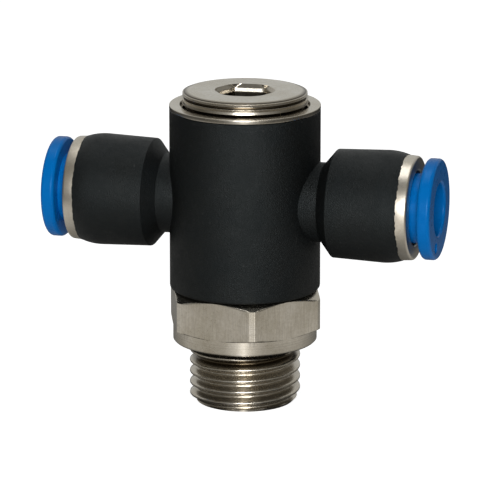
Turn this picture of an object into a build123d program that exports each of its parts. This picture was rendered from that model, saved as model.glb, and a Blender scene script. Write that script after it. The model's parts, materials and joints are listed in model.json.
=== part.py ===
from build123d import *
from math import ceil, cos, radians, sin, tan
import os

# Swivelling push-in tee fitting for compressed air, two 6 mm tubes on one G1/4 stud.
# A hollow metal bolt stands on the Z axis, with Z = 0 at the sealing face under its collar
# and the threaded stud pointing down. A moulded body turns on the bolt between its hexagon
# and a ring nut, and carries two push-in ports that point along +X and -X.
# Sizes are in millimetres and degrees.

# A thread's ridge has flat lands. It starts a little inside its core, and its blank is as much
# larger than the crest, so that it only trims the ends
thread_overrun = 0.05

# Threaded stud, G1/4, with its first crest below the sealing face
stud_thread_diameter = 13.157
stud_thread_pitch = 1.337
stud_flank_angle = 27.5
stud_land = 0.223
stud_crest_drop = 0.929
stud_length = 7.5
stud_end_chamfer = 0.85
stud_neck_undercut = 0.02
stud_neck_end = 0.2
thread_start_angle = 30
flow_bore_diameter = 7.5
flow_bore_overrun = 0.4
drill_tip_angle = 59

# Round sealing collar with a recess for the stud's O-ring
collar_diameter = 17.05
collar_height = 1.7
collar_edge_chamfer = 0.15
seal_recess_diameter = 14.9
seal_recess_depth = 1.5

# Hexagon for a 17 mm spanner, cut from round bar so that its corners are blunt
hexagon_across_flats = 17.0
hexagon_bar_diameter = 19.15
hexagon_height = 4.65
hexagon_corner_angle = 50
crown_angle = 25
crown_flat_diameter = 16.36
underside_angle = 15

# Stem that the body turns on
stem_diameter = 15.0
swivel_gap = 0.05
seal_groove_width = 1.9
seal_groove_diameter = 12.5
lower_groove_rise = 3.8
upper_groove_drop = 2.0
flow_groove_diameter = 11.5
flow_groove_width = 6.4
cross_hole_diameter = 4.5
cross_hole_count = 4

# Threaded top end of the bolt, M15 x 1
top_thread_relief = 0.06
top_thread_pitch = 1.0
top_flank_angle = 30
top_land = 0.15
top_crest_drop = 0.931
top_thread_below_nut = 0.45
top_thread_chamfer = 0.26
undercut_diameter = 13.6
undercut_width = 0.7
bolt_protrusion = 1.65
socket_across_flats = 6.0
socket_corner_angle = 4.7
socket_depth = 4.8
socket_mouth_diameter = 7.1
socket_mouth_angle = 45

# Ring nut that closes the body at the top
nut_flange_thickness = 0.5
nut_spigot_wall = 0.7
nut_spigot_length = 2.2
nut_thread_clearance = 0.02
nut_relief_width = 0.17
nut_relief_depth = 0.6
nut_edge_chamfer = 0.08

# Moulded body
body_wall = 1.35
body_height = 21.5
body_bottom_chamfer = 0.3
body_top_chamfer = 0.1
arm_axis_rise = 10.75

# Arm outline, as distances from the bolt's axis and diameters about the arm's axis
neck_diameter = 9.4
neck_end = 9.7
cone_end = 11.1
cone_swell = 0.16
bulge_station = 17.1
bulge_swell = 0.37
arm_end = 19.4
arm_end_wall = 0.84

# Push-in port, with the tube stop as a distance from the bolt's axis
tube_diameter = 6.0
tube_clearance = 0.05
tube_stop = 9.0
passage_diameter = 4.5
tube_seat_length = 3.4
seal_seat_length = 2.4
seal_seat_diameter = 9.6
insert_clearance = 0.02
spacer_thickness = 2.0
spacer_guide_length = 0.5

# Toothed grab ring, stamped from spring sheet
grab_sheet_thickness = 0.3
grab_rim_inner_diameter = 9.0
grab_tip_diameter = 5.7
tooth_angle = 35
tooth_count = 12
tooth_slot_width = 0.5

# Retaining sleeve with the ring that shows at the mouth of the port
sleeve_ring_width = 1.35
sleeve_ring_step = 0.09
sleeve_ring_taper = 0.05
sleeve_ring_round = 0.3
sleeve_lip_thickness = 1.2
sleeve_skirt_wall = 0.48
sleeve_neck_clearance = 0.3
sleeve_barb_clearance = 0.25

# Release ring that is pushed in to let the tube go
release_gap = 1.1
release_end_gap = 0.05
release_tooth_gap = 0.08
release_flange_diameter = 11.9
release_flange_thickness = 1.6
release_edge_round = 0.42
release_bore_diameter = 6.3
release_mouth_round = 0.3
release_neck_diameter = 8.2
release_barb_diameter = 9.3
release_barb_length = 0.5
release_nose_diameter = 7.6
release_nose_tip_diameter = 7.0
release_slot_width = 0.8
release_slot_count = 4
release_slot_length = 2.6
gate_mark_diameter = 1.3
gate_mark_depth = 0.3
gate_mark_radius = 4.65
gate_mark_angle = 25

# Seals
seal_clearance = 0.02
tube_seal_bite = 0.1
tube_seal_valley = 0.45
tube_seal_edge = 0.25

# Heights that follow from the ones above, from the sealing face up
hexagon_top = collar_height + hexagon_height
lower_groove_height = hexagon_top + lower_groove_rise
body_bottom = hexagon_top + swivel_gap
body_top = body_bottom + body_height
arm_axis_height = body_bottom + arm_axis_rise
nut_underside = body_top + swivel_gap
nut_top = nut_underside + nut_flange_thickness
bolt_top = nut_top + bolt_protrusion
top_crest_height = bolt_top - top_crest_drop
top_thread_start = nut_underside - nut_spigot_length - top_thread_below_nut
upper_groove_height = top_thread_start - upper_groove_drop

# Diameters that follow, from the stem out
body_bore_diameter = stem_diameter + 2 * swivel_gap
body_diameter = body_bore_diameter + 2 * body_wall
top_thread_diameter = stem_diameter - top_thread_relief
nut_bore_diameter = top_thread_diameter + 2 * nut_thread_clearance
nut_spigot_diameter = nut_bore_diameter + 2 * nut_spigot_wall
stud_thread_depth = (stud_thread_pitch / 2 - stud_land) / tan(radians(stud_flank_angle))
top_thread_depth = (top_thread_pitch / 2 - top_land) / tan(radians(top_flank_angle))
stud_neck_diameter = stud_thread_diameter - 2 * stud_thread_depth - 2 * stud_neck_undercut
tube_bore_diameter = tube_diameter + 2 * tube_clearance

# Diameters that follow about an arm's axis, from the release ring out
sleeve_hole_diameter = release_neck_diameter + 2 * sleeve_neck_clearance
sleeve_chamber_diameter = release_barb_diameter + 2 * sleeve_barb_clearance
insert_fit_diameter = sleeve_chamber_diameter + 2 * sleeve_skirt_wall
insert_diameter = insert_fit_diameter + 2 * insert_clearance
arm_end_diameter = insert_diameter + 2 * arm_end_wall
bulge_diameter = arm_end_diameter + 2 * bulge_swell
cone_diameter = arm_end_diameter + 2 * cone_swell
sleeve_ring_diameter = arm_end_diameter - 2 * sleeve_ring_step
sleeve_front_diameter = sleeve_ring_diameter - 2 * sleeve_ring_taper

# Stations that follow along an arm, from the bolt's axis out
seal_seat_start = tube_stop + tube_seat_length
insert_seat_start = seal_seat_start + seal_seat_length
grab_ring_start = insert_seat_start + spacer_thickness
sleeve_start = grab_ring_start + grab_sheet_thickness
sleeve_front = arm_end + sleeve_ring_width
release_flange_start = sleeve_front + release_gap
release_end = release_flange_start + release_flange_thickness
release_stroke = release_gap - release_end_gap
tooth_slope = tan(radians(tooth_angle))
tooth_sheet = grab_sheet_thickness / cos(radians(tooth_angle))
tooth_at_nose = (grab_rim_inner_diameter - release_nose_tip_diameter) / 2 * tooth_slope
release_nose_start = grab_ring_start + tooth_sheet - tooth_at_nose + release_stroke + release_tooth_gap
beyond = 5.0


def turned(points):
    """Solid of revolution about Z from a closed outline of (radius, height) points."""
    outline = Polyline([(radius, 0, height) for radius, height in points], close=True)
    return revolve(make_face(outline), Axis.Z)


def cylinder(diameter, low, high):
    """Cylinder about Z between two heights."""
    solid = Cylinder(diameter / 2, high - low, align=(Align.CENTER, Align.CENTER, Align.MIN))
    return Pos(0, 0, low) * solid


def hexagon_prism(across_flats, corner_angle, low, high):
    """Hexagonal prism about Z with one corner at the given angle from +X."""
    outline = RegularPolygon(across_flats / 2, 6, major_radius=False, rotation=corner_angle)
    return Pos(0, 0, low) * extrude(outline, high - low)


def on_arm(shape, side):
    """Move a shape drawn about Z, with heights as stations, to the arm on the given side."""
    return Pos(0, 0, arm_axis_height) * Rot(0, 90 * side, 0) * shape


def ridge_outline(diameter, depth, flank_angle, land, height):
    """Outline of a thread's ridge at a height, as (radius, height) points."""
    crest = diameter / 2
    root = crest - depth - thread_overrun
    half_root = land / 2 + (crest - root) * tan(radians(flank_angle))
    return [(root, height - half_root), (root, height + half_root),
            (crest, height + land / 2), (crest, height - land / 2)]


def spanner_hexagon():
    """Hexagon with blunt corners, a crowned top and a coned underside."""
    bar = hexagon_bar_diameter / 2
    crown = crown_flat_diameter / 2
    collar = collar_diameter / 2
    crown_drop = (bar - crown) * tan(radians(crown_angle))
    underside_rise = (bar - collar) * tan(radians(underside_angle))
    envelope = turned([
        (0, collar_height), (collar, collar_height), (bar, collar_height + underside_rise),
        (bar, hexagon_top - crown_drop), (crown, hexagon_top), (0, hexagon_top)])
    return envelope & hexagon_prism(hexagon_across_flats, hexagon_corner_angle, collar_height, hexagon_top)


def threaded_stud():
    """Stud with its neck, up to the floor of the collar's recess. Its thread is drawn as a ring at
    each pitch, so that the lands are true cylinders, which a mating thread can be tried on."""
    neck = stud_neck_diameter / 2
    end = stud_thread_diameter / 2 - stud_end_chamfer
    outside = stud_thread_diameter / 2 + thread_overrun
    thread_start = -stud_neck_end - (outside - neck) * tan(radians(thread_start_angle))
    blank = turned([
        (0, -stud_length), (end, -stud_length), (outside, -stud_length + outside - end),
        (outside, thread_start), (neck, -stud_neck_end), (neck, seal_recess_depth),
        (0, seal_recess_depth)])
    stud = cylinder(stud_thread_diameter - 2 * stud_thread_depth, -stud_length, seal_recess_depth)
    for index in range(ceil(stud_length / stud_thread_pitch)):
        height = -stud_crest_drop - index * stud_thread_pitch
        stud += turned(ridge_outline(stud_thread_diameter, stud_thread_depth, stud_flank_angle,
                                     stud_land, height))
    return blank & stud


def sealing_collar():
    """Round collar under the hexagon, with the recess for the stud's seal."""
    collar = collar_diameter / 2
    recess = seal_recess_diameter / 2
    return turned([
        (0, seal_recess_depth), (recess, seal_recess_depth), (recess, 0),
        (collar - collar_edge_chamfer, 0), (collar, collar_edge_chamfer),
        (collar, collar_height), (0, collar_height)])


def grooved_stem():
    """Stem between the hexagon and the top thread, with the seals' grooves and the flow groove."""
    stem = stem_diameter / 2
    undercut = undercut_diameter / 2
    undercut_start = top_thread_start - undercut_width
    shaft = turned([
        (0, hexagon_top), (stem, hexagon_top), (stem, undercut_start), (undercut, undercut_start),
        (undercut, top_thread_start), (0, top_thread_start)])
    grooves = [
        (lower_groove_height, seal_groove_width, seal_groove_diameter),
        (upper_groove_height, seal_groove_width, seal_groove_diameter),
        (arm_axis_height, flow_groove_width, flow_groove_diameter)]
    for height, width, diameter in grooves:
        low, high = height - width / 2, height + width / 2
        shaft -= cylinder(stem_diameter + beyond, low, high) - cylinder(diameter, low, high)
    return shaft


def threaded_top():
    """Threaded end that carries the ring nut, with a chamfered start and a right-handed helix."""
    end = top_thread_diameter / 2 - top_thread_chamfer
    outside = top_thread_diameter / 2 + thread_overrun
    blank = turned([
        (0, top_thread_start), (outside, top_thread_start), (outside, bolt_top - outside + end),
        (end, bolt_top), (0, bolt_top)])
    turns = ceil((top_crest_height - top_thread_start) / top_thread_pitch + 1)
    start = top_crest_height - turns * top_thread_pitch
    ridge = ridge_outline(top_thread_diameter, top_thread_depth, top_flank_angle, top_land, start)
    section = make_face(Polyline([(radius, 0, height) for radius, height in ridge], close=True))
    path = Helix(pitch=top_thread_pitch, height=bolt_top + top_thread_pitch - start,
                 radius=ridge[0][0], center=(0, 0, start))
    core = cylinder(top_thread_diameter - 2 * top_thread_depth, start - beyond, bolt_top + beyond)
    return blank & (core + sweep(section, path=path, is_frenet=True))


def flow_passages():
    """Bore up from the stud's end, with its drill point, and the cross holes into the flow groove."""
    radius = flow_bore_diameter / 2
    bore_end = arm_axis_height + cross_hole_diameter / 2 + flow_bore_overrun
    tip = radius / tan(radians(drill_tip_angle))
    passages = turned([
        (0, -stud_length - beyond), (radius, -stud_length - beyond), (radius, bore_end),
        (0, bore_end + tip)])
    drill = Rot(0, 90, 0) * Cylinder(cross_hole_diameter / 2, stem_diameter + beyond)
    drill = Pos(0, 0, arm_axis_height) * drill
    for index in range(cross_hole_count // 2):
        passages += Rot(0, 0, index * 360 / cross_hole_count) * drill
    return passages


def hexagon_socket():
    """Hexagon socket with a coned mouth and the point of the drill that was broached out."""
    floor = bolt_top - socket_depth
    flat = socket_across_flats / 2
    mouth = socket_mouth_diameter / 2
    mouth_depth = mouth / tan(radians(socket_mouth_angle))
    socket = hexagon_prism(socket_across_flats, socket_corner_angle, floor, bolt_top)
    socket += turned([(0, floor - flat / tan(radians(drill_tip_angle))), (flat, floor), (0, floor)])
    return socket + turned([(0, bolt_top - mouth_depth), (mouth, bolt_top), (0, bolt_top)])


def hollow_bolt():
    """Bolt turned from hexagon bar: stud, collar, hexagon, stem and threaded top end."""
    bolt = threaded_stud() + sealing_collar() + spanner_hexagon() + grooved_stem() + threaded_top()
    return bolt - flow_passages() - hexagon_socket()


def ring_nut():
    """Ring nut: thin flange as wide as the body and a spigot that sits in the body's counterbore."""
    rim = body_diameter / 2
    spigot = nut_spigot_diameter / 2
    bore = nut_bore_diameter / 2
    relief = bore + nut_relief_width
    relief_floor = nut_top - nut_relief_depth
    return turned([
        (bore, nut_underside - nut_spigot_length), (spigot, nut_underside - nut_spigot_length),
        (spigot, nut_underside), (rim, nut_underside), (rim, nut_top - nut_edge_chamfer),
        (rim - nut_edge_chamfer, nut_top), (relief, nut_top), (relief, relief_floor),
        (bore, relief_floor)])


def ring_seal(inner_diameter, outer_diameter, height):
    """O-ring that fills the radial space between two diameters, less its clearance."""
    section = (outer_diameter - inner_diameter) / 4 - seal_clearance
    return Pos(0, 0, height) * Torus((outer_diameter + inner_diameter) / 4, section)


def stud_seal():
    """O-ring held in the collar's recess by the neck of the stud."""
    section = seal_recess_depth / 2 - seal_clearance
    ring_radius = stud_neck_diameter / 2 + seal_clearance + section
    return Pos(0, 0, seal_recess_depth / 2) * Torus(ring_radius, section)


def arm_outline():
    """Face between the arm's axis and its outside: neck, cone, and a collar that swells and closes in."""
    neck = Line((0, 0), (neck_diameter / 2, 0))
    shaft = Line(neck @ 1, (neck_diameter / 2, neck_end))
    cone = Line(shaft @ 1, (cone_diameter / 2, cone_end))
    swell = Line(cone @ 1, (bulge_diameter / 2, bulge_station))
    closing = TangentArc(swell @ 1, (arm_end_diameter / 2, arm_end), tangent=swell % 1)
    end = Line(closing @ 1, (0, arm_end))
    face = make_face(neck + shaft + cone + swell + closing + end + Line(end @ 1, (0, 0)))
    return Rot(90, 0, 0) * face


def port_bore():
    """Space inside one arm: passage, tube seat, seal seat and the seat of the inserts."""
    passage, tube = passage_diameter / 2, tube_bore_diameter / 2
    seal, insert = seal_seat_diameter / 2, insert_diameter / 2
    return turned([
        (0, 0), (passage, 0), (passage, tube_stop), (tube, tube_stop), (tube, seal_seat_start),
        (seal, seal_seat_start), (seal, insert_seat_start), (insert, insert_seat_start),
        (insert, arm_end + beyond), (0, arm_end + beyond)])


def tee_body():
    """Moulded body: upright barrel with an arm on each side and stepped bores."""
    rim = body_diameter / 2
    body = turned([
        (0, body_bottom), (rim - body_bottom_chamfer, body_bottom),
        (rim, body_bottom + body_bottom_chamfer), (rim, body_top - body_top_chamfer),
        (rim - body_top_chamfer, body_top), (0, body_top)])
    arm = revolve(arm_outline(), Axis.Z)
    for side in (-1, 1):
        body += on_arm(arm, side)
    for side in (-1, 1):
        body -= on_arm(port_bore(), side)
    counterbore_floor = nut_underside - nut_spigot_length - swivel_gap
    body -= cylinder(body_bore_diameter, body_bottom - beyond, body_top + beyond)
    return body - cylinder(nut_spigot_diameter + 2 * swivel_gap, counterbore_floor, body_top + beyond)


def tube_seal():
    """Two-lipped rubber seal that grips the tube in front of the tube seat."""
    low = seal_seat_start + seal_clearance
    high = insert_seat_start - seal_clearance
    outer = seal_seat_diameter / 2 - seal_clearance
    lip = tube_diameter / 2 - tube_seal_bite
    valley = lip + tube_seal_valley
    middle = (low + high) / 2
    edge = tube_seal_edge
    return turned([
        (lip, low + edge), (lip + edge, low), (outer - edge, low), (outer, low + edge),
        (outer, high - edge), (outer - edge, high), (lip + edge, high), (lip, high - edge),
        (lip, high - 2 * edge), (valley, middle), (lip, low + 2 * edge)])


def spacer_ring():
    """Ring that backs the seal, guides the tube and gives the teeth a cone to lean into."""
    outer = insert_fit_diameter / 2
    guide = tube_bore_diameter / 2 + tube_clearance
    guide_end = insert_seat_start + spacer_guide_length
    mouth = grab_rim_inner_diameter / 2 + tube_clearance
    return turned([
        (guide, insert_seat_start), (outer, insert_seat_start), (outer, grab_ring_start),
        (mouth, grab_ring_start), (guide, guide_end)])


def grab_ring():
    """Spring-steel ring whose teeth lean towards the tube stop, so that a pulled tube is held."""
    rim = insert_fit_diameter / 2
    root = grab_rim_inner_diameter / 2
    tip = grab_tip_diameter / 2
    back, front = grab_ring_start, grab_ring_start + grab_sheet_thickness
    lean = (root - tip) * tooth_slope
    front_root = root - (tooth_sheet - grab_sheet_thickness) / tooth_slope
    ring = turned([
        (tip, back - lean), (root, back), (rim, back), (rim, front), (front_root, front),
        (tip, back - lean + tooth_sheet)])
    slot_length = root - tooth_slot_width / 2
    slot = SlotOverall(2 * slot_length + tooth_slot_width, tooth_slot_width)
    slots = Pos(0, 0, back - beyond) * extrude(slot, 2 * beyond)
    for index in range(tooth_count // 2):
        ring -= Rot(0, 0, (index + 0.5) * 360 / tooth_count) * slots
    return ring


def retaining_sleeve():
    """Plated sleeve: skirt in the body, lip that holds the release ring, and the ring that shows."""
    skirt = insert_fit_diameter / 2
    ring, front = sleeve_ring_diameter / 2, sleeve_front_diameter / 2
    chamber = sleeve_chamber_diameter / 2
    hole = sleeve_hole_diameter / 2
    lip_start = sleeve_front - sleeve_lip_thickness
    sleeve = turned([
        (chamber, sleeve_start), (skirt, sleeve_start), (skirt, arm_end), (ring, arm_end),
        (front, sleeve_front), (hole, sleeve_front), (hole, lip_start), (chamber, lip_start)])
    front_edges = sleeve.edges().filter_by(GeomType.CIRCLE).filter_by_position(
        Axis.Z, sleeve_front, sleeve_front)
    return fillet(front_edges, sleeve_ring_round)


def release_ring(side):
    """Push ring: flange to press, neck through the sleeve, and a slotted nose with a barb."""
    bore = release_bore_diameter / 2
    nose_tip, nose = release_nose_tip_diameter / 2, release_nose_diameter / 2
    barb, neck = release_barb_diameter / 2, release_neck_diameter / 2
    flange = release_flange_diameter / 2
    shoulder = sleeve_front - sleeve_lip_thickness - release_end_gap
    barb_start = shoulder - release_barb_length
    ring = turned([
        (bore, release_nose_start), (nose_tip, release_nose_start),
        (nose, release_nose_start + nose - nose_tip), (barb, barb_start), (barb, shoulder),
        (neck, shoulder), (neck, release_flange_start), (flange, release_flange_start),
        (flange, release_end), (bore, release_end)])
    circles = ring.edges().filter_by(GeomType.CIRCLE)
    rims = [edge for edge in circles if abs(edge.radius - flange) < seal_clearance]
    ring = fillet(rims, release_edge_round)
    mouth = [edge for edge in ring.edges().filter_by(GeomType.CIRCLE)
             if abs(edge.radius - bore) < seal_clearance and edge.center().Z > release_flange_start]
    ring = fillet(mouth, release_mouth_round)
    cutter = Pos(0, 0, release_nose_start - beyond) * Box(
        release_flange_diameter, release_slot_width, release_slot_length + beyond,
        align=(Align.CENTER, Align.CENTER, Align.MIN))
    for index in range(release_slot_count // 2):
        ring -= Rot(0, 0, index * 360 / release_slot_count) * cutter
    mark_x = side * gate_mark_radius * cos(radians(gate_mark_angle))
    mark_y = -gate_mark_radius * sin(radians(gate_mark_angle))
    mark = cylinder(gate_mark_diameter, release_end - gate_mark_depth, release_end + beyond)
    return ring - Pos(mark_x, mark_y, 0) * mark


def write(node, shape):
    """Write one sub-part under its node name."""
    shape.label = node
    export_step(shape, os.path.join("parts", node + ".step"))


os.makedirs("parts", exist_ok=True)
write("hollow_bolt", hollow_bolt())
write("ring_nut", ring_nut())
write("stud_seal", stud_seal())
write("lower_swivel_seal", ring_seal(seal_groove_diameter, body_bore_diameter, lower_groove_height))
write("upper_swivel_seal", ring_seal(seal_groove_diameter, body_bore_diameter, upper_groove_height))
write("tee_body", tee_body())
for name, side in (("left", -1), ("right", 1)):
    write(name + "_tube_seal", on_arm(tube_seal(), side))
    write(name + "_spacer_ring", on_arm(spacer_ring(), side))
    write(name + "_grab_ring", on_arm(grab_ring(), side))
    write(name + "_retaining_sleeve", on_arm(retaining_sleeve(), side))
    write(name + "_release_ring", on_arm(release_ring(side), side))
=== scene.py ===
import json
from math import cos, pi, radians, sin, tan

import bmesh
import bpy
import numpy as np
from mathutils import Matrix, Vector


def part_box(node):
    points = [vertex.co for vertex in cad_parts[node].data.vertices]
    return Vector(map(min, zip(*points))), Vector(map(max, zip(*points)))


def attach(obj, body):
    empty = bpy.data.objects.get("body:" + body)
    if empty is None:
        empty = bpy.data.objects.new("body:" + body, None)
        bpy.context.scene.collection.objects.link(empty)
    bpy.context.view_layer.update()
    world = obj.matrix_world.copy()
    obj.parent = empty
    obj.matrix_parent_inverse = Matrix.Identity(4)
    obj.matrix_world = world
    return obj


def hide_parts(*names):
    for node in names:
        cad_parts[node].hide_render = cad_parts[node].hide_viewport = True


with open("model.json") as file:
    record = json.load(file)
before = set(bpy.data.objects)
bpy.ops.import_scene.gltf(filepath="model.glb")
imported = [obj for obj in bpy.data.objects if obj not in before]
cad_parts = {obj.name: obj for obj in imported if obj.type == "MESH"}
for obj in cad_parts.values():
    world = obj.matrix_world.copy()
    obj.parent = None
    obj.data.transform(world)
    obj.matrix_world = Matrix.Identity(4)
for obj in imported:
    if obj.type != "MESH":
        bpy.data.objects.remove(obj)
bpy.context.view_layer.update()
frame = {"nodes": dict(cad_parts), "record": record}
scene = bpy.context.scene
scene.view_settings.view_transform = "Standard"

# Camera
# A long lens half a metre away, a little above the arms and to the right of straight ahead,
# so that the right arm comes forward and shows the mouth of its port.
mm = 0.001
camera_turn = 14.65
camera_rise = 14.5
camera_distance = 500
picture_centre_height = 11.35
focal_pixels = 4231
picture_pixels = 490
sensor_width = 36


def direction(turn, rise):
    """Unit vector from the object towards a place turned right of straight ahead and raised above level."""
    a, e = radians(turn), radians(rise)
    return Vector((sin(a) * cos(e), -cos(a) * cos(e), sin(e)))


camera_data = bpy.data.cameras.new("camera")
camera_data.sensor_width = sensor_width
camera_data.lens = focal_pixels / picture_pixels * sensor_width
camera_data.clip_start = 10 * mm
camera = bpy.data.objects.new("camera", camera_data)
scene.collection.objects.link(camera)
look_at = Vector((0, 0, picture_centre_height * mm))
camera.location = look_at + direction(camera_turn, camera_rise) * camera_distance * mm
camera.rotation_euler = direction(camera_turn, camera_rise).to_track_quat("Z", "Y").to_euler()
scene.camera = camera

# Studio
# White paper, a large softbox behind the lens and another overhead, a little to the back. Polished
# metal sees the room darker than the lens does: dim to the sides and high at the front, over a table
# that glows for gloss alone, lighter to the back left, with a painted shadow of the object close in and
# behind it, painted falloff far away, and a painted reflection of the softbox across it.
floor_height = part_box("hollow_bolt")[0][2]
floor_size = 3.0
key_turn = camera_turn - 2
key_rise = 15
top_rise = 97
box_distance = 0.6
ceiling_turn = camera_turn
ceiling_rise = 55
ceiling_shades = ((0.0, (1, 1, 1)), (0.45, (0.9, 0.9, 0.9)),
                  (0.80, (0.36, 0.35, 0.33)), (1.0, (0.24, 0.235, 0.22)))
wall_shades = ((0.0, (0.58, 0.59, 0.58)), (0.55, (0.54, 0.54, 0.53)),
               (0.85, (0.20, 0.195, 0.18)), (1.0, (0.09, 0.085, 0.07)))
fill_strength = 0.12
paper_colour = (0.7, 0.7, 0.7, 1)
paper_glow = 0.86
# Shades and ranges of the table's gloss. A range gives two measures, in metres or as a share, and the
# values at them.
table_shades = ((0.0, (0.42, 0.40, 0.36)), (1.0, (0.80, 0.80, 0.78)))
table_slant = (-0.45, 0.89, 0)
table_slant_range = (-0.09, 0.09, 0, 1)
# Painted shadow of the object close in and behind it, and painted falloff far away.
table_shadow_close_range = (0.010, 0.040, 0.05, 1.0)
table_falloff_range = (0.055, 0.13, 1.0, 0.14)
table_shadow_behind_range = (-0.8, 0.1, 0.30, 1.0)
# Painted reflection of the key softbox: a bright core and a wider skirt.
reflection_core_range = (0.0, 0.10, 1.1, 0.0)
reflection_skirt_range = (0.06, 0.50, 0.36, 0.0)
least_distance = 0.0001


def wires(material):
    """Turn on a material's nodes and give back its nodes, links and Principled shader."""
    material.use_nodes = True
    tree = material.node_tree
    return tree.nodes, tree.links, tree.nodes.get("Principled BSDF")


def number(nodes, links, operation, *terms):
    """Math node on numbers or sockets; gives back its output."""
    node = nodes.new("ShaderNodeMath")
    node.operation = operation
    for k, term in enumerate(terms):
        if isinstance(term, (int, float)):
            node.inputs[k].default_value = term
        else:
            links.new(term, node.inputs[k])
    return node.outputs[0]


def share(nodes, links, place, towards):
    """How far a place or direction reaches along a given vector."""
    node = nodes.new("ShaderNodeVectorMath")
    node.operation = "DOT_PRODUCT"
    node.inputs[1].default_value = towards
    links.new(place, node.inputs[0])
    return node.outputs["Value"]


def times(nodes, links, first, second):
    """Product of two colours or numbers, channel by channel."""
    node = nodes.new("ShaderNodeVectorMath")
    node.operation = "MULTIPLY"
    links.new(first, node.inputs[0])
    links.new(second, node.inputs[1])
    return node.outputs[0]


def graded(nodes, links, value, *stops):
    """Colour ramp through stops of (value, colour), with values from 0 to 1."""
    node = nodes.new("ShaderNodeValToRGB")
    ramp = node.color_ramp
    while len(ramp.elements) < len(stops):
        ramp.elements.new(0.5)
    for element, (position, colour) in zip(ramp.elements, stops):
        element.position = position
        element.color = (*colour, 1)
    links.new(value, node.inputs[0])
    return node.outputs[0]


def ranged(nodes, links, value, low, high, to_low, to_high):
    """Map a number from one range to another, and hold it at the ends."""
    node = nodes.new("ShaderNodeMapRange")
    links.new(value, node.inputs[0])
    for k, limit in enumerate((low, high, to_low, to_high)):
        node.inputs[k + 1].default_value = limit
    return node.outputs[0]


def chosen(nodes, links, when, otherwise, then):
    """Mix two shaders by a ray test."""
    node = nodes.new("ShaderNodeMixShader")
    for k, term in enumerate((when, otherwise, then)):
        links.new(term, node.inputs[k])
    return node.outputs[0]


def shining(nodes, links, kind, colour, strength=1.0):
    """Background or Emission shader of a fixed or linked colour."""
    node = nodes.new(kind)
    node.inputs[1].default_value = strength
    if isinstance(colour, tuple):
        node.inputs[0].default_value = (*colour, 1)
    else:
        links.new(colour, node.inputs[0])
    return node.outputs[0]


def softbox(name, turn, rise, distance, width, watts, gloss):
    """Square area lamp that points at the middle of the picture, and how strongly gloss mirrors it."""
    data = bpy.data.lights.new(name, "AREA")
    data.energy = watts
    data.size = width
    data.specular_factor = gloss
    lamp = bpy.data.objects.new(name, data)
    lamp.location = look_at + direction(turn, rise) * distance
    lamp.rotation_euler = direction(turn, rise).to_track_quat("Z", "Y").to_euler()
    scene.collection.objects.link(lamp)


def pale_room():
    """World: white to the camera, a weak fill to matt surfaces, and the ceiling to gloss."""
    world = bpy.data.worlds.new("pale_room")
    world.use_nodes = True
    nodes, links = world.node_tree.nodes, world.node_tree.links
    path = nodes.new("ShaderNodeLightPath")
    sight = nodes.new("ShaderNodeTexCoord").outputs["Generated"]
    towards_dark = share(nodes, links, sight, direction(ceiling_turn, ceiling_rise))
    dim = graded(nodes, links, towards_dark, *ceiling_shades)
    sideways = number(nodes, links, "ABSOLUTE", share(nodes, links, sight, direction(camera_turn + 90, 0)))
    walls = graded(nodes, links, sideways, *wall_shades)
    room = shining(nodes, links, "ShaderNodeBackground", times(nodes, links, dim, walls))
    fill = shining(nodes, links, "ShaderNodeBackground", (1, 1, 1), fill_strength)
    white = shining(nodes, links, "ShaderNodeBackground", (1, 1, 1))
    gloss = number(nodes, links, "MAXIMUM", path.outputs["Is Glossy Ray"],
                   path.outputs["Is Transmission Ray"])
    unseen = chosen(nodes, links, gloss, fill, room)
    seen = chosen(nodes, links, path.outputs["Is Camera Ray"], unseen, white)
    links.new(seen, nodes["World Output"].inputs[0])
    scene.world = world


def table_gloss(nodes, links):
    """What gloss sees in the table, all painted light in one emission: lighter to the back left, a painted
    shadow of the object close in and behind it, painted falloff far away, and the softbox's painted
    reflection across it as a bright core and a wider skirt."""
    place = nodes.new("ShaderNodeTexCoord").outputs["Object"]
    back_left = share(nodes, links, place, table_slant)
    base = graded(nodes, links, ranged(nodes, links, back_left, *table_slant_range), *table_shades)
    length = nodes.new("ShaderNodeVectorMath")
    length.operation = "LENGTH"
    links.new(place, length.inputs[0])
    away = length.outputs["Value"]
    # Painted shadow close in and behind the object, painted falloff far away, painted reflection of the
    # softbox.
    close = ranged(nodes, links, away, *table_shadow_close_range)
    far = ranged(nodes, links, away, *table_falloff_range)
    ahead = share(nodes, links, place, direction(key_turn, 0))
    across = number(nodes, links, "ABSOLUTE", share(nodes, links, place, direction(key_turn + 90, 0)))
    spread = number(nodes, links, "DIVIDE", across,
                    number(nodes, links, "MAXIMUM", ahead, least_distance))
    core = ranged(nodes, links, spread, *reflection_core_range)
    skirt = ranged(nodes, links, spread, *reflection_skirt_range)
    box = number(nodes, links, "ADD", core, skirt)
    facing = number(nodes, links, "DIVIDE", ahead,
                    number(nodes, links, "MAXIMUM", away, least_distance))
    behind = ranged(nodes, links, facing, *table_shadow_behind_range)
    level = number(nodes, links, "MULTIPLY", number(nodes, links, "MULTIPLY", close, far), behind)
    lit = nodes.new("ShaderNodeVectorMath")
    links.new(times(nodes, links, base, level), lit.inputs[0])
    links.new(box, lit.inputs[1])
    return shining(nodes, links, "ShaderNodeEmission", lit.outputs[0])


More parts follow.
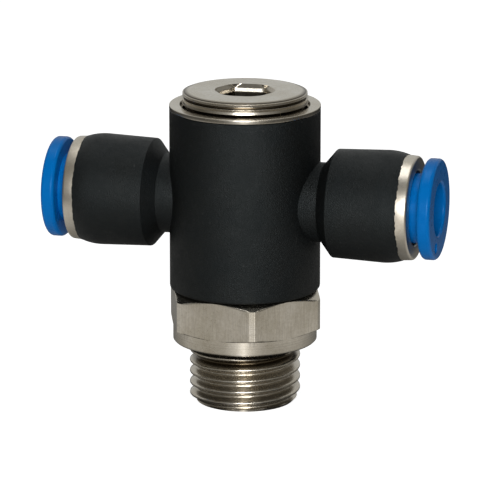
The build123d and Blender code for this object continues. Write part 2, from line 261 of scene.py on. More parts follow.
def pale_floor():
    """Floor: lit paper made up to white for the camera, plain paper to matt surfaces, a table to gloss."""
    mesh = bpy.data.meshes.new("floor")
    half = floor_size / 2
    corners = [(-half, -half, floor_height), (half, -half, floor_height),
               (half, half, floor_height), (-half, half, floor_height)]
    mesh.from_pydata(corners, [], [(0, 1, 2, 3)])
    floor = bpy.data.objects.new("floor", mesh)
    scene.collection.objects.link(floor)
    paper = bpy.data.materials.new("floor_paper")
    nodes, links, shader = wires(paper)
    shader.inputs["Base Color"].default_value = paper_colour
    shader.inputs["Roughness"].default_value = 1.0
    shader.inputs["Specular IOR Level"].default_value = 0.0
    seen = nodes.new("ShaderNodeAddShader")
    links.new(shader.outputs[0], seen.inputs[0])
    links.new(shining(nodes, links, "ShaderNodeEmission", (1, 1, 1), paper_glow), seen.inputs[1])
    path = nodes.new("ShaderNodeLightPath")
    mirrored = table_gloss(nodes, links)
    other = chosen(nodes, links, path.outputs["Is Glossy Ray"], shader.outputs[0], mirrored)
    final = chosen(nodes, links, path.outputs["Is Camera Ray"], other, seen.outputs[0])
    links.new(final, nodes["Material Output"].inputs[0])
    mesh.materials.append(paper)


pale_room()
pale_floor()
softbox("key_softbox", key_turn, key_rise, box_distance, width=0.29, watts=2.4, gloss=0.20)
softbox("top_softbox", camera_turn, top_rise, box_distance, width=0.34, watts=0.8, gloss=0.9)

# Hollow bolt
# One piece of brass turned from 17 mm hexagon bar and nickel plated: stud with a rolled G1/4 thread,
# round sealing collar, hexagon, grooved stem inside the body, and a top end with two level lands and a
# broached hexagon socket. A flow bore comes up from the stud and four cross holes feed the arms.
bolt_low, bolt_high = (np.array(corner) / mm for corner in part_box("hollow_bolt"))
nut_low, nut_high = (np.array(corner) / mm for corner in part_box("ring_nut"))
body_low, body_high = (np.array(corner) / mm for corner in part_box("tee_body"))
arm_height = frame["record"]["mounts"][2]["pos_m"][2] / mm
stud_end = bolt_low[2]
bolt_top = bolt_high[2]
bar_radius = 9.575
flat_distance = 8.5
corner_turn = 50
corner_strip_turn = 2.6
strip_columns = 22
flat_columns = 33
corner_ridge = 0.015
corner_ridge_turn = 1.7
corner_ridge_spread = 0.35
flat_blend = 0.05
flat_blend_reach = 0.3
collar_radius = 8.525
collar_top = 1.7
collar_wall = 0.8
collar_edge = 0.15
recess_radius = 7.45
recess_depth = 1.5
neck_radius = 5.70
underside_rise = 0.42
crown_radius = 8.18
crown_drop = 0.65
hexagon_top = body_low[2] - 0.05
stem_radius = 7.5
seal_groove_radius = 6.25
seal_groove_half_width = 0.95
lower_seal_height = hexagon_top + 3.8
upper_seal_height = 23.3
flow_groove_radius = 5.75
flow_groove_half_width = 3.2
flow_bore_radius = 3.75
flow_bore_end = arm_height + 2.65
flow_bore_chamfer = 0.3
drill_tip_slope = tan(radians(31))
cross_hole_radius = 2.25
stud_pitch = 1.337
stud_crest_radius = 6.57
stud_crest_height = -0.929
stud_flank = 27.5
stud_tip = 0.184
stud_chamfer = 0.85
stud_chamfer_blend = 0.06
stud_thread_top = -0.60
stud_thread_rows = 84
stud_runout_slope = 3.0
stud_runout_blend = 0.08
# Painted shade in the bolt's recesses, laid into its colour as a dark brown mask: the thread's roots, the
# groove below the first crest, under the hexagon's corners, the grooves of the top end and low in the
# socket.
stud_grime = 0.22
stud_grime_top = 0.2
unshaded_crest = 0.05
grime_depth = 0.6
first_groove = (-2.2, -1.15)
first_groove_fades = (0.25, 0.15)
disc_radius = 7.12
disc_wall = 0.11
disc_chamfer = 0.45
face_radii = (6.2, 5.2, 4.4)
upper_land_radius = 7.36
upper_land = (0.20, 0.47)
lower_land_radius = 7.43
lower_land = (0.80, 1.40)
land_hollow = 0.09
land_side = 0.06
land_root = 0.3
land_groove_radius = 7.1
land_grime_start = 0.03
land_grime_fade = 0.15
top_stem_radius = 7.02
undercut_top = 25.3
undercut_height = 0.7
undercut_radius = 6.8
top_end_depth = 0.7
top_grime_heights = (nut_high[2] - 0.8, bolt_top - 0.08)
top_grime_radius = 6.9
socket_flat_distance = 3.0
socket_corner_turn = 4.7
socket_depth = 4.8
socket_mouth_radius = 3.55
socket_mouth_rim = 0.12
socket_widening = ((0, 0.42), (0.45, 0.1), (0.87, 0))
socket_lean_end = 0.9
socket_sides_start = 1.05
socket_grime = 0.7
socket_grime_start = 0.85
socket_grime_fade = 0.1
underside_grime = 0.9
edge_round = 0.05
sharp_turn = 32
hair = 0.01
front_turn = camera_turn - 90


def soft_min(a, b, width):
    """Smaller of two surfaces, with the crossing rounded over a width: half of a + b less a rooted gap."""
    return 0.5 * (a + b - np.sqrt((a - b) ** 2 + width ** 2))


def fade(reach, width):
    """Number from 0 to 1 that grows with the reach past an edge and is full at the width."""
    return np.clip(reach / width, 0, 1)


def hexagon_radius(turns, flat, corner):
    """Distance to a hexagon's side: flat over the cosine of the angle from the middle of that side."""
    return flat / np.cos(((turns - radians(corner)) % (pi / 3)) - pi / 6)


def thread_radius(turns, heights, crest, pitch, crest_height, flank, tip):
    """Helical thread: the axial distance from the nearest crest, folded into half a pitch, drops by an arc
    of the tip radius, then a straight flank, then the same arc upside down at the root."""
    position = (heights - crest_height) / pitch - (turns - radians(front_turn)) / (2 * pi)
    offset = np.abs(position - np.round(position)) * pitch
    touch = tip * cos(radians(flank))
    arc_drop = tip * (1 - sin(radians(flank)))
    depth = 2 * arc_drop + (pitch / 2 - 2 * touch) / tan(radians(flank))
    near = np.minimum(offset, pitch / 2 - offset)
    arc = tip - np.sqrt(tip ** 2 - np.minimum(near, touch) ** 2)
    drop = np.where(near < touch, arc, arc_drop + (near - touch) / tan(radians(flank)))
    return crest - np.where(offset < pitch / 4, drop, depth - drop)


def plain_rows(outline, turns):
    """Rows of one radius and one height each, from an outline of (radius, height) points."""
    return np.repeat(np.array(outline, float)[:, None, :], len(turns), axis=1)


def rows_of(radii, heights, turns):
    """Rows whose radius changes round the axis."""
    return np.stack([radii, np.broadcast_to(heights[:, None], (len(heights), len(turns)))], axis=-1)


def along(outline, count):
    """Points at even steps along a polyline of (radius, height) points."""
    points = np.array(outline, float)
    reach = np.concatenate([[0], np.cumsum(np.hypot(*np.diff(points, axis=0).T))])
    steps = np.linspace(0, reach[-1], count)
    return np.stack([np.interp(steps, reach, points[:, k]) for k in (0, 1)], axis=1)


def rounded(corners, steps=5):
    """Outline from corners (radius, height, rounding): each rounded corner becomes an arc that touches
    both of its sides. The first and last corners of an open outline stay sharp."""
    points = []
    for k, (radius, height, rounding) in enumerate(corners):
        here = np.array([radius, height], float)
        if rounding == 0:
            points.append(here)
            continue
        before = np.array(corners[k - 1][:2], float) - here
        after = np.array(corners[(k + 1) % len(corners)][:2], float) - here
        before /= np.hypot(*before)
        after /= np.hypot(*after)
        half = np.arccos(np.clip(before @ after, -1, 1)) / 2
        middle = (before + after) / np.hypot(*(before + after)) * rounding / sin(half)
        start = before * rounding / tan(half) - middle
        end = after * rounding / tan(half) - middle
        span = np.arccos(np.clip(start @ end / rounding ** 2, -1, 1))
        for t in np.linspace(0, 1, steps):
            points.append(here + middle + (sin((1 - t) * span) * start + sin(t * span) * end) / sin(span))
    return np.array(points)


def upright(rows, turns):
    """Places about the upright axis, in millimetres."""
    radii, heights = rows[..., 0], rows[..., 1]
    return np.stack([radii * np.cos(turns), radii * np.sin(turns), heights], axis=-1)


def skin(name, places, ring=False, **masks):
    """Closed mesh on a grid of places: columns run round and close, and rows either close too, as on a
    ring, or end in a point at each end. Each mask gives every place a number for its material."""
    rows, columns = places.shape[:2]
    index = np.arange(rows * columns).reshape(rows, columns)
    lower = index if ring else index[:-1]
    upper = np.roll(index, -1, axis=0) if ring else index[1:]
    faces = np.stack([lower, np.roll(lower, -1, axis=1), np.roll(upper, -1, axis=1), upper], axis=-1)
    mesh = bpy.data.meshes.new(name)
    mesh.from_pydata((places.reshape(-1, 3) * mm).tolist(), [], faces.reshape(-1, 4).tolist())
    for label, mask in masks.items():
        layer = mesh.attributes.new(label, "FLOAT", "POINT")
        layer.data.foreach_set("value", np.broadcast_to(mask, (rows, columns)).reshape(-1).astype(float))
    shape = bmesh.new()
    shape.from_mesh(mesh)
    bmesh.ops.remove_doubles(shape, verts=shape.verts, dist=1e-8)
    bmesh.ops.recalc_face_normals(shape, faces=shape.faces)
    shape.to_mesh(mesh)
    shape.free()
    mesh.shade_smooth()
    piece = bpy.data.objects.new(name, mesh)
    scene.collection.objects.link(piece)
    return piece


def rod(radius, start, end, columns=48):
    """Plain closed rod between two places in millimetres, used as a drill."""
    start, end = Vector(start) * mm, Vector(end) * mm
    shape = bmesh.new()
    bmesh.ops.create_cone(shape, cap_ends=True, segments=columns, radius1=radius * mm, radius2=radius * mm,
                          depth=(end - start).length)
    turn = (end - start).to_track_quat("Z", "Y").to_matrix().to_4x4()
    turn.translation = (start + end) / 2
    bmesh.ops.transform(shape, matrix=turn, verts=shape.verts)
    mesh = bpy.data.meshes.new("drill")
    shape.to_mesh(mesh)
    shape.free()
    tool = bpy.data.objects.new("drill", mesh)
    scene.collection.objects.link(tool)
    return tool


def combine(piece, tools, operation):
    """Cut the tools out of a piece or weld them to it, and take the tools away."""
    for tool in tools:
        step = piece.modifiers.new("step", "BOOLEAN")
        step.operation = operation
        step.object = tool
        step.solver = "EXACT"
    graph = bpy.context.evaluated_depsgraph_get()
    result = bpy.data.meshes.new_from_object(piece.evaluated_get(graph))
    piece.modifiers.clear()
    result.name = piece.name
    piece.data = result
    for tool in tools:
        bpy.data.objects.remove(tool)
    result.set_sharp_from_angle(angle=radians(sharp_turn))


def bolt_turns():
    """Columns for the bolt: even along each flat and closer together over each blunt corner."""
    strip = np.linspace(-corner_strip_turn, corner_strip_turn, strip_columns + 1)[:-1]
    flat = np.linspace(corner_strip_turn, 60 - corner_strip_turn, flat_columns + 1)[:-1]
    sector = np.concatenate([strip, flat])
    return np.radians(np.concatenate([sector + corner_turn + 60 * k for k in range(6)]))


def stud_rows(turns):
    """Flow bore, end face and thread of the stud, up to the recess under the collar."""
    tip = flow_bore_end + flow_bore_radius * drill_tip_slope
    end_radius = stud_crest_radius - stud_chamfer
    along_chamfer = (end_radius + 0.5, stud_end + 0.5, 0)
    bore = rounded([(0, tip, 0), (flow_bore_radius, flow_bore_end, 0),
                    (flow_bore_radius, stud_end + flow_bore_chamfer, edge_round),
                    (flow_bore_radius + flow_bore_chamfer, stud_end, edge_round),
                    (end_radius, stud_end, edge_round), along_chamfer])[:-1]
    heights = np.linspace(stud_end + 0.04, stud_thread_top + 0.1, stud_thread_rows)[:, None]
    crest = thread_radius(turns[None, :], heights, stud_crest_radius, stud_pitch, stud_crest_height,
                          stud_flank, stud_tip)
    chamfer = end_radius + (heights - stud_end)
    runout = neck_radius + (stud_thread_top - heights) * stud_runout_slope
    radii = soft_min(soft_min(crest, chamfer, stud_chamfer_blend), np.maximum(runout, neck_radius),
                     stud_runout_blend)
    thread = rows_of(radii, heights[:, 0], turns)
    recess = rounded([(neck_radius, 0, 0), (neck_radius, recess_depth, 0.1),
                      (recess_radius, recess_depth, 0.1), (recess_radius, 0, edge_round),
                      (collar_radius - collar_edge, 0, edge_round),
                      (collar_radius, collar_edge, edge_round), (collar_radius, 0.4, 0)])
    return [plain_rows(bore, turns), thread, plain_rows(recess, turns)]


def hexagon_rows(turns):
    """Collar wall, coned underside, flats and crown: the turned outline cut by the hexagon's sides, with a
    slight ridge along both edges of each corner strip. Also how far the outline lies beyond the sides."""
    flats_start = (bar_radius, collar_top + underside_rise)
    flats_end = (bar_radius, hexagon_top - crown_drop)
    outline = np.concatenate([along([(collar_radius, collar_top), flats_start], 12),
                              along([flats_start, flats_end], 12)[1:],
                              along([flats_end, (crown_radius, hexagon_top)], 18)[1:]])
    sides = hexagon_radius(turns[None, :], flat_distance, corner_turn)
    from_corner = np.abs((turns - radians(corner_turn) + pi / 6) % (pi / 3) - pi / 6)
    from_ridge = (from_corner - radians(corner_ridge_turn)) / radians(corner_ridge_spread)
    ridge = corner_ridge * np.exp(-from_ridge ** 2)
    blend = flat_blend * fade(outline[:, :1] - collar_radius, flat_blend_reach)
    radii = soft_min(outline[:, :1] + ridge, sides, blend)
    low = np.broadcast_to(collar_radius, turns.shape)
    wall_heights = np.array([collar_top - collar_wall, collar_top - hair])
    wall = rows_of(np.stack([low, np.minimum(low, sides[0])]), wall_heights, turns)
    return [wall, rows_of(radii, outline[:, 1], turns)], outline[:, :1] - sides


def stem_rows(turns):
    """Stem with its seal grooves and flow groove, up to the undercut below the top end."""
    outline = [(crown_radius - 0.1, hexagon_top), (stem_radius, hexagon_top)]
    grooves = [(lower_seal_height, seal_groove_half_width, seal_groove_radius),
               (arm_height, flow_groove_half_width, flow_groove_radius),
               (upper_seal_height, seal_groove_half_width, seal_groove_radius)]
    for height, half, radius in grooves:
        outline += [(stem_radius, height - half), (radius, height - half),
                    (radius, height + half), (stem_radius, height + half)]
    outline += [(stem_radius, undercut_top - undercut_height),
                (undercut_radius, undercut_top - undercut_height),
                (undercut_radius, undercut_top), (top_stem_radius, undercut_top)]
    return [plain_rows(outline, turns)]


def top_rows(turns):
    """Two level lands and the chamfered disc, then the hexagon socket down to its drill point. The socket's
    sides lean outward near its mouth, as far as the round mouth."""
    lands = []
    for radius, (top, bottom) in ((lower_land_radius, lower_land), (upper_land_radius, upper_land)):
        lands += [(radius - land_root, bolt_top - bottom - land_side, 0.02),
                  (radius, bolt_top - bottom, 0.03),
                  (radius - land_hollow, bolt_top - (top + bottom) / 2, 0),
                  (radius, bolt_top - top, 0.03),
                  (land_groove_radius, bolt_top - top + land_side, 0.02)]
    disc = [(disc_radius, bolt_top - disc_wall, 0.03), (disc_radius - disc_chamfer, bolt_top, 0.08),
            (face_radii[0], bolt_top, 0)]
    outside = rounded([(top_stem_radius, nut_high[2] - top_end_depth, 0)] + lands + disc)
    face = [(radius, bolt_top) for radius in (*face_radii[1:], socket_mouth_radius + socket_mouth_rim)]
    floor = bolt_top - socket_depth
    depths = np.concatenate([np.linspace(0, socket_lean_end, 24),
                             np.linspace(socket_sides_start, socket_depth, 6)])[:, None]
    widening = np.interp(depths, *zip(*socket_widening))
    sides = hexagon_radius(turns[None, :], socket_flat_distance + widening, socket_corner_turn)
    socket = rows_of(soft_min(socket_mouth_radius, sides, 0.05), bolt_top - depths[:, 0], turns)
    tip = floor - socket_flat_distance * drill_tip_slope
    point = plain_rows([(socket_flat_distance - 0.03, floor), (0, tip)], turns)
    return [plain_rows(outside, turns), plain_rows(face, turns), socket, point]


def bolt_grime(radii, heights, turns, drawn):
    """Painted shade, dark brown, where shade falls: the thread's roots, most of all the groove below the
    first crest that the collar shades, the coned underside of the hexagon under its corners, the grooves of
    the top end and the lower walls of the socket."""
    in_stud = (heights < stud_grime_top) & (radii > flow_bore_radius + 0.4)
    level = heights - stud_pitch / 4 * np.sin(turns - radians(front_turn))
    above, below = first_groove_fades
    in_first = fade(level - first_groove[0], above) * fade(first_groove[1] - level, below)
    depth = fade(stud_crest_radius - radii - unshaded_crest, grime_depth)
    stud = np.where(in_stud, depth * (stud_grime + (1 - stud_grime) * in_first), 0)
    under = (heights > collar_top + hair) & (heights < collar_top + underside_rise) & (drawn == 0)
    in_top = (heights > top_grime_heights[0]) & (heights < top_grime_heights[1]) & (radii > top_grime_radius)
    lands = np.where(in_top, fade(upper_land_radius - radii - land_grime_start, land_grime_fade), 0)
    at_socket = (heights < bolt_top) & (heights > bolt_top - socket_depth - hair)
    inside = at_socket & (radii < socket_mouth_radius + hair)
    low_walls = fade(bolt_top - heights - socket_grime_start, socket_grime_fade)
    socket = np.where(inside, socket_grime * low_walls, 0)
    return stud + np.where(under, underside_grime, 0) + lands + socket


def hollow_bolt():
    """The bolt as one surface from the point of its flow bore, round the outside, to the socket's point."""
    turns = bolt_turns()
    stud = stud_rows(turns)
    hexagon, beyond_flat = hexagon_rows(turns)
    parts = stud + hexagon + stem_rows(turns) + top_rows(turns)
    rows = np.concatenate(parts)
    radii, heights = rows[..., 0], rows[..., 1]
    in_socket = (heights > bolt_top - socket_depth) & (radii < socket_mouth_radius + hair)
    drawn = np.where(in_socket, 1.0, 0.0)
    start = sum(len(part) for part in stud) + len(hexagon[0])
    drawn[start:start + len(hexagon[1])] = fade(beyond_flat, flat_blend)
    # Mask of painted shade in the recesses, kept on the points for the material.
    grime = bolt_grime(radii, heights, turns, drawn)
    bolt = skin("turned_bolt", upright(rows, turns), drawn=drawn, grime=grime)
    reach = stem_radius + 1
    drills = [rod(cross_hole_radius, (-reach, 0, arm_height), (reach, 0, arm_height)),
              rod(cross_hole_radius, (0, -reach, arm_height), (0, reach, arm_height))]
    combine(bolt, drills, "DIFFERENCE")
    return bolt


def new_group(name, inputs, outputs):
    """Empty node group with named number inputs and typed outputs."""
    group = bpy.data.node_groups.new(name, "ShaderNodeTree")
    for socket, value in inputs.items():
        entry = group.interface.new_socket(socket, in_out="INPUT", socket_type="NodeSocketFloat")
        entry.default_value = value
    for socket, kind in outputs.items():
        group.interface.new_socket(socket, in_out="OUTPUT", socket_type=kind)
    return group, group.nodes.new("NodeGroupInput"), group.nodes.new("NodeGroupOutput")


def cloud(nodes, links, place, scale, detail=2.0, rough=0.5):
    """Noise on a place, at a number of features per metre; gives back a number from 0 to 1."""
    node = nodes.new("ShaderNodeTexNoise")
    node.inputs["Detail"].default_value = detail
    node.inputs["Roughness"].default_value = rough
    if isinstance(scale, (int, float)):
        node.inputs["Scale"].default_value = scale
    else:
        links.new(scale, node.inputs["Scale"])
    links.new(place, node.inputs["Vector"])
    return node.outputs["Fac"]


def turning_marks_group():
    """Fine rings left by a lathe tool: noise on the distance from an axis and the place along it."""
    group, inside, outside = new_group("turning_marks", {"Lines per metre": 9000},
                                       {"Height": "NodeSocketFloat"})
    nodes, links = group.nodes, group.links
    place = nodes.new("ShaderNodeTexCoord").outputs["Object"]
    split = nodes.new("ShaderNodeSeparateXYZ")
    links.new(place, split.inputs[0])
    squares = number(nodes, links, "ADD", number(nodes, links, "POWER", split.outputs[0], 2.0),
                     number(nodes, links, "POWER", split.outputs[1], 2.0))
    radius = number(nodes, links, "SQRT", squares)
    join = nodes.new("ShaderNodeCombineXYZ")
    links.new(radius, join.inputs[0])
    links.new(split.outputs[2], join.inputs[2])
    lines = cloud(nodes, links, join.outputs[0], inside.outputs["Lines per metre"], detail=3.0, rough=0.6)
    links.new(lines, outside.inputs["Height"])
    return group


def mottle_group():
    """Slow and quick patches mixed, for handling marks, thin plating and uneven gloss."""
    group, inside, outside = new_group("mottle", {"Slow": 300, "Quick": 2500}, {"Patch": "NodeSocketFloat"})
    nodes, links = group.nodes, group.links
    place = nodes.new("ShaderNodeTexCoord").outputs["Object"]
    slow = cloud(nodes, links, place, inside.outputs["Slow"])
    quick = cloud(nodes, links, place, inside.outputs["Quick"], detail=4.0, rough=0.6)
    both = number(nodes, links, "ADD", number(nodes, links, "MULTIPLY", slow, 0.6),
                  number(nodes, links, "MULTIPLY", quick, 0.4))
    links.new(both, outside.inputs["Patch"])
    return group


turning_marks = turning_marks_group()
mottle = mottle_group()


def placed(nodes, group, **values):
    """Put a node group in a material with its own values."""
    node = nodes.new("ShaderNodeGroup")
    node.node_tree = group
    for socket, value in values.items():
        node.inputs[socket.replace("_", " ")].default_value = value
    return node


def blended(nodes, links, mask, first, second):
    """Mix two colours by a mask."""
    node = nodes.new("ShaderNodeMix")
    node.data_type = "RGBA"
    links.new(mask, node.inputs[0])
    for k, colour in ((6, first), (7, second)):
        if isinstance(colour, tuple):
            node.inputs[k].default_value = (*colour, 1)
        else:
            links.new(colour, node.inputs[k])
    return node.outputs[2]


def bumped(nodes, links, shader, height, distance):
    """Give a shader small relief from a height between 0 and 1, at a depth in metres."""
    node = nodes.new("ShaderNodeBump")
    node.inputs["Strength"].default_value = 1.0
    node.inputs["Distance"].default_value = distance
    links.new(height, node.inputs["Height"])
    links.new(node.outputs[0], shader.inputs["Normal"])


thin_nickel = (0.57, 0.515, 0.42)
thick_nickel = (0.70, 0.655, 0.58)
# Colour of the painted shade in the bolt's recesses.
painted_shade_brown = (0.10, 0.078, 0.05)
streak_stretch = (1, 1, 0.06)
streaks_per_metre = 7000


def nickel_plate(name, rough, marks_depth):
    """Satin nickel on turned brass: a warm grey metal with lathe rings, drawn streaks where the piece's
    "drawn" mask is full, and painted shade in dark brown where its mask of painted shade is."""
    material = bpy.data.materials.new(name)
    nodes, links, shader = wires(material)
    patch = placed(nodes, mottle, Slow=260, Quick=3000).outputs[0]
    colour = blended(nodes, links, ranged(nodes, links, patch, 0.35, 0.65, 0.0, 1.0),
                     thin_nickel, thick_nickel)
    grime = nodes.new("ShaderNodeAttribute")
    grime.attribute_name = "grime"
    shader.inputs["Metallic"].default_value = 1.0
    links.new(ranged(nodes, links, patch, 0.3, 0.7, rough + 0.07, rough - 0.05), shader.inputs["Roughness"])
    rings = placed(nodes, turning_marks, Lines_per_metre=11000).outputs[0]
    stretch = nodes.new("ShaderNodeMapping")
    stretch.inputs["Scale"].default_value = streak_stretch
    links.new(nodes.new("ShaderNodeTexCoord").outputs["Object"], stretch.inputs[0])
    streaks = cloud(nodes, links, stretch.outputs[0], streaks_per_metre, detail=3.0, rough=0.6)
    flat = nodes.new("ShaderNodeAttribute")
    flat.attribute_name = "drawn"
    mixed = nodes.new("ShaderNodeMix")
    links.new(flat.outputs["Fac"], mixed.inputs[0])
    links.new(rings, mixed.inputs[2])
    links.new(streaks, mixed.inputs[3])
    bumped(nodes, links, shader, mixed.outputs[0], marks_depth)
    streaked = times(nodes, links, colour, ranged(nodes, links, mixed.outputs[0], 0.3, 0.7, 0.88, 1.08))
    # Painted shade: the colour turns dark brown where the mask of painted shade is full.
    links.new(blended(nodes, links, grime.outputs["Fac"], streaked, painted_shade_brown), shader.inputs["Base Color"])
    return material


bolt_plate = nickel_plate("bolt_nickel", rough=0.24, marks_depth=0.0000045)
bolt = hollow_bolt()
bolt.data.materials.clear()
bolt.data.materials.append(bolt_plate)
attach(bolt, "bolt")
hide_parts("hollow_bolt")

# Ring nut
# A thin nut turned from brass and plated, which closes the body at the top. Its flange is as wide as the
# body, and its bore is relieved at the top, which leaves a dark groove below the bolt's lower land.
nut_rim = nut_high[0]
nut_bore = 7.49
nut_relief = 7.66
nut_relief_depth = 0.6
nut_spigot = 8.19
nut_flange = 0.5


def even_turns(columns):
    """Angles at even steps round an axis."""
    return np.linspace(0, 2 * pi, columns, endpoint=False)


def turned_ring(name, corners, columns=192):
    """Ring about the upright axis from a closed outline of rounded corners."""
    turns = even_turns(columns)
    return skin(name, upright(plain_rows(rounded(corners), turns), turns), ring=True)


underside = nut_high[2] - nut_flange
nut = turned_ring("ring_nut_plated", [
    (nut_bore, nut_low[2], 0.05), (nut_spigot, nut_low[2], 0.05), (nut_spigot, underside, 0.03),
    (nut_rim, underside, 0.06), (nut_rim, nut_high[2], 0.1), (nut_relief, nut_high[2], 0.04),
    (nut_relief, nut_high[2] - nut_relief_depth, 0.03), (nut_bore, nut_high[2] - nut_relief_depth, 0.03)])
nut.data.materials.append(bolt_plate)
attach(nut, "bolt")
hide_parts("ring_nut")

# Moulded body
# One black glass-filled plastic moulding from a spark-eroded tool: an upright barrel bored for the bolt,
# and on each side an arm with a short neck, a cone, and a collar that swells and closes in on the nickel
# sleeve. Where the sleeve was pressed in, a thin ragged lip of plastic was turned up over it.
barrel_radius = body_high[1]
barrel_bore = 7.55
barrel_edge = 0.3
counterbore_radius = nut_spigot + 0.05
counterbore_floor = nut_low[2] - 0.05
wall_middle = 8.2
passage_radius = 2.25
arm_root = 8.5
neck_outer = 4.7
neck_end = 9.7
cone_end = 11.1
cone_radius = 6.4
bulge_station = 17.1
bulge_radius = 6.61
bulge_power = 2.2
arm_end = body_high[0]
arm_end_radius = 6.24
lip_thickness = 0.05
lip_reach = 0.07
lip_wave = 0.05
lip_limit = 2.2
tube_stop = 9.0
tube_seat_radius = 3.05
tube_seat_end = 12.4
seal_seat_radius = 4.8
seal_seat_end = 14.8
insert_radius = 5.4


def lip_edge(turns, raggedness, phase):
    """How far the turned-up lip reaches past the arm's end: a few sine waves of different lengths."""
    waves = (np.sin(5 * turns + phase) + 0.8 * np.sin(11 * turns + 2.3 * phase)
             + 0.7 * np.sin(23 * turns + 4.1 * phase) + 0.6 * np.sin(41 * turns + 1.7 * phase)
             + 0.5 * np.sin(67 * turns + 3.3 * phase))
    return lip_reach + raggedness * np.clip(waves, -lip_limit, lip_limit) * lip_wave


def along_arm(rows, turns, side):
    """Places about an arm's axis, in millimetres, from rows of radius and station."""
    radii, stations = rows[..., 0], rows[..., 1]
    return np.stack([side * stations, radii * np.cos(turns), arm_height + radii * np.sin(turns)], axis=-1)


def arm_shell(side, raggedness, phase):
    """One arm from inside the barrel's wall, along its outside, over the lip, and back down its bores."""
    turns = even_turns(288)
    swell = along([(cone_radius, cone_end), (bulge_radius, bulge_station)], 6)[1:]
    closing = [(bulge_radius - (bulge_radius - arm_end_radius) * t ** bulge_power,
                bulge_station + (arm_end - bulge_station) * t) for t in np.linspace(0, 1, 12)[1:]]
    outside = rounded([(neck_outer, arm_root, 0), (neck_outer, neck_end, 0.12),
                       (cone_radius, cone_end, 0.14), (swell[0][0], swell[0][1], 0)])
    outline = np.concatenate([outside, swell[1:], closing])
    inside = rounded([(insert_radius, arm_end - 0.2, 0), (insert_radius, seal_seat_end, 0.05),
                      (seal_seat_radius, seal_seat_end, 0.05), (seal_seat_radius, tube_seat_end, 0.1),
                      (tube_seat_radius, tube_seat_end, 0.15), (tube_seat_radius, tube_stop, 0.05),
                      (passage_radius, tube_stop, 0.1), (passage_radius, arm_root, 0)])
    edge = arm_end + lip_edge(turns, raggedness, phase)
    lip = np.stack([np.stack([np.full_like(turns, arm_end_radius - hair), edge - 0.02], axis=-1),
                    np.stack([np.full_like(turns, arm_end_radius - lip_thickness), edge], axis=-1)])
    seat = plain_rows([(arm_end_radius - lip_thickness, arm_end), (insert_radius, arm_end)], turns)
    rows = np.concatenate([plain_rows(outline, turns), lip, seat, plain_rows(inside, turns)])
    for row, radius in ((0, neck_outer), (-1, passage_radius)):
        rows[row, :, 1] = np.sqrt(wall_middle ** 2 - (radius * np.cos(turns)) ** 2)
    return skin("arm", along_arm(rows, turns, side), ring=True)


def moulded_body():
    """Barrel with its bores, drilled through for the passages, and the two arms welded to it."""
    barrel = turned_ring("moulded_body", [
        (barrel_bore, body_low[2], 0.15), (barrel_radius, body_low[2], barrel_edge),
        (barrel_radius, body_high[2], 0.1), (counterbore_radius, body_high[2], 0.08),
        (counterbore_radius, counterbore_floor, 0.05), (barrel_bore, counterbore_floor, 0.05)], columns=224)
    reach = barrel_radius + 1
    drill = rod(passage_radius - hair, (-reach, 0, arm_height), (reach, 0, arm_height))
    combine(barrel, [drill], "DIFFERENCE")
    arms = [arm_shell(-1, raggedness=0.45, phase=0.4), arm_shell(1, raggedness=1.0, phase=1.9)]
    combine(barrel, arms, "UNION")
    return barrel


fresh_black = (0.0018, 0.0025, 0.0029)
dull_black = (0.0048, 0.0048, 0.0044)
black_gloss = (0.87, 0.98, 1.0, 1)
dust_colour = (0.20, 0.20, 0.19)


def eroded_plastic():
    """Black plastic with the fine matt of a spark-eroded tool, duller patches and a few specks of dust."""
    material = bpy.data.materials.new("black_moulding")
    nodes, links, shader = wires(material)
    place = nodes.new("ShaderNodeTexCoord").outputs["Object"]
    patch = placed(nodes, mottle, Slow=220, Quick=1400).outputs[0]
    base = blended(nodes, links, ranged(nodes, links, patch, 0.35, 0.7, 0.0, 1.0), fresh_black, dull_black)
    specks = cloud(nodes, links, place, 2600, detail=0.0)
    dust = ranged(nodes, links, specks, 0.80, 0.84, 0.0, 0.08)
    links.new(blended(nodes, links, dust, base, dust_colour), shader.inputs["Base Color"])
    links.new(ranged(nodes, links, patch, 0.3, 0.7, 0.58, 0.36), shader.inputs["Roughness"])
    shader.inputs["Specular IOR Level"].default_value = 0.30
    shader.inputs["Specular Tint"].default_value = black_gloss
    grain = cloud(nodes, links, place, 7500, detail=3.0, rough=0.7)
    bumped(nodes, links, shader, grain, distance=0.00007)
    return material


black_moulding = eroded_plastic()
body = moulded_body()
body.data.materials.clear()
body.data.materials.append(black_moulding)
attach(body, "tee")
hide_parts("tee_body")

# Retaining sleeves
# Thin sleeves turned from brass and nickel plated, pressed into the arms. The skirt inside the body
# holds the grab ring, and the part that shows is a slightly coned ring with a soft front edge.
sleeve_low, sleeve_high = (np.array(corner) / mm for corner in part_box("right_retaining_sleeve"))
sleeve_back = sleeve_low[0]
sleeve_front = sleeve_high[0]
skirt_radius = 5.38
ring_back_radius = arm_end_radius - 0.045
ring_front_radius = 6.1
chamber_radius = 4.9
hole_radius = 4.4
lip_depth = 1.2
dent_depth = 0.00004


def sleeve_plate():
    """Nickel of the sleeves: more matt than the bolt's, with the slow dents of a pressed ring."""
    material = nickel_plate("sleeve_nickel", rough=0.36, marks_depth=0.000004)
    nodes, links, shader = wires(material)
    place = nodes.new("ShaderNodeTexCoord").outputs["Object"]
    dents = cloud(nodes, links, place, 420)
    fine = nodes["Bump"]
    broad = nodes.new("ShaderNodeBump")
    broad.inputs["Distance"].default_value = dent_depth
    links.new(dents, broad.inputs["Height"])
    links.new(fine.outputs[0], broad.inputs["Normal"])
    links.new(broad.outputs[0], shader.inputs["Normal"])
    return material


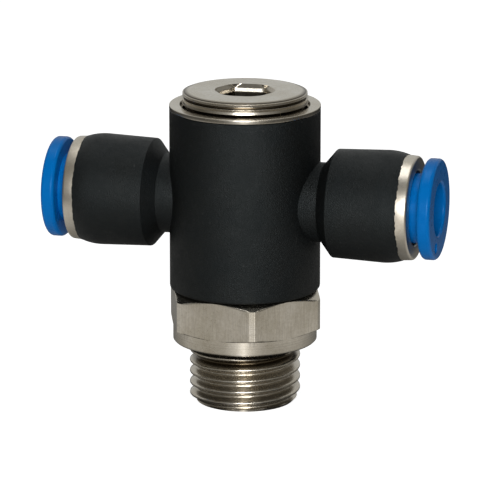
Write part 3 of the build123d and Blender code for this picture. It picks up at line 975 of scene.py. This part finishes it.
satin_plate = sleeve_plate()
sleeve_turns = even_turns(192)
sleeve_outline = rounded([
    (chamber_radius, sleeve_back, 0.05), (skirt_radius, sleeve_back, 0.05), (skirt_radius, arm_end, 0.02),
    (ring_back_radius, arm_end, 0.03), (ring_front_radius, sleeve_front, 0.32),
    (hole_radius, sleeve_front, 0.25), (hole_radius, sleeve_front - lip_depth, 0.05),
    (chamber_radius, sleeve_front - lip_depth, 0.05)], steps=8)
for name, side in (("left", -1), ("right", 1)):
    places = along_arm(plain_rows(sleeve_outline, sleeve_turns), sleeve_turns, side)
    sleeve = skin(name + "_plated_sleeve", places, ring=True)
    sleeve.data.materials.append(satin_plate)
    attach(sleeve, "tee")
    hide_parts(name + "_retaining_sleeve")

# Release rings
# Blue acetal mouldings with rounded rims, pushed in by hand to let the tube go. Each has a neck through
# the sleeve, a slotted nose whose barb catches behind the sleeve's lip, and the round mark of its gate.


light_blue = (0.0, 0.165, 0.530)
deep_blue = (0.0, 0.150, 0.500)
blue_gloss = (0.35, 0.66, 1.0, 1)


def blue_plastic():
    """Blue acetal: satin, a little deeper in hue in patches, with a very fine mould grain."""
    material = bpy.data.materials.new("blue_moulding")
    nodes, links, shader = wires(material)
    place = nodes.new("ShaderNodeTexCoord").outputs["Object"]
    patch = placed(nodes, mottle, Slow=300, Quick=1800).outputs[0]
    links.new(blended(nodes, links, ranged(nodes, links, patch, 0.35, 0.65, 0.0, 1.0),
                      deep_blue, light_blue), shader.inputs["Base Color"])
    shader.inputs["Specular IOR Level"].default_value = 0.22
    shader.inputs["Specular Tint"].default_value = blue_gloss
    links.new(ranged(nodes, links, patch, 0.3, 0.7, 0.24, 0.34), shader.inputs["Roughness"])
    grain = cloud(nodes, links, place, 3000, detail=3.0, rough=0.6)
    bumped(nodes, links, shader, grain, distance=0.000012)
    return material


def refinish(node, material):
    """Give a CAD node one new material in place of its own."""
    piece = frame["nodes"][node]
    piece.data.materials.clear()
    piece.data.materials.append(material)


blue_moulding = blue_plastic()
for name in ("left", "right"):
    refinish(name + "_release_ring", blue_moulding)

# Seals and inserts
# Black nitrile O-rings and tube seals, cream acetal spacer rings, and grab rings stamped from thin
# stainless sheet, whose teeth show at the bottom of the port.


def matt_material(name, colour, rough, grain_scale):
    """Plain matt solid with a slight grain in its surface."""
    material = bpy.data.materials.new(name)
    nodes, links, shader = wires(material)
    place = nodes.new("ShaderNodeTexCoord").outputs["Object"]
    patch = placed(nodes, mottle).outputs[0]
    darker = tuple(0.8 * channel for channel in colour)
    links.new(blended(nodes, links, patch, darker, colour), shader.inputs["Base Color"])
    links.new(ranged(nodes, links, patch, 0.3, 0.7, rough - 0.05, rough + 0.05), shader.inputs["Roughness"])
    bumped(nodes, links, shader, cloud(nodes, links, place, grain_scale), distance=0.00001)
    return material


nitrile = matt_material("black_nitrile", (0.014, 0.014, 0.014), rough=0.5, grain_scale=4000)
acetal = matt_material("cream_acetal", (0.62, 0.60, 0.52), rough=0.45, grain_scale=3000)
spring_sheet = nickel_plate("spring_steel", rough=0.22, marks_depth=0.000003)
for node in ("stud_seal", "lower_swivel_seal", "upper_swivel_seal", "left_tube_seal", "right_tube_seal"):
    refinish(node, nitrile)
for name in ("left", "right"):
    refinish(name + "_spacer_ring", acetal)
    refinish(name + "_grab_ring", spring_sheet)
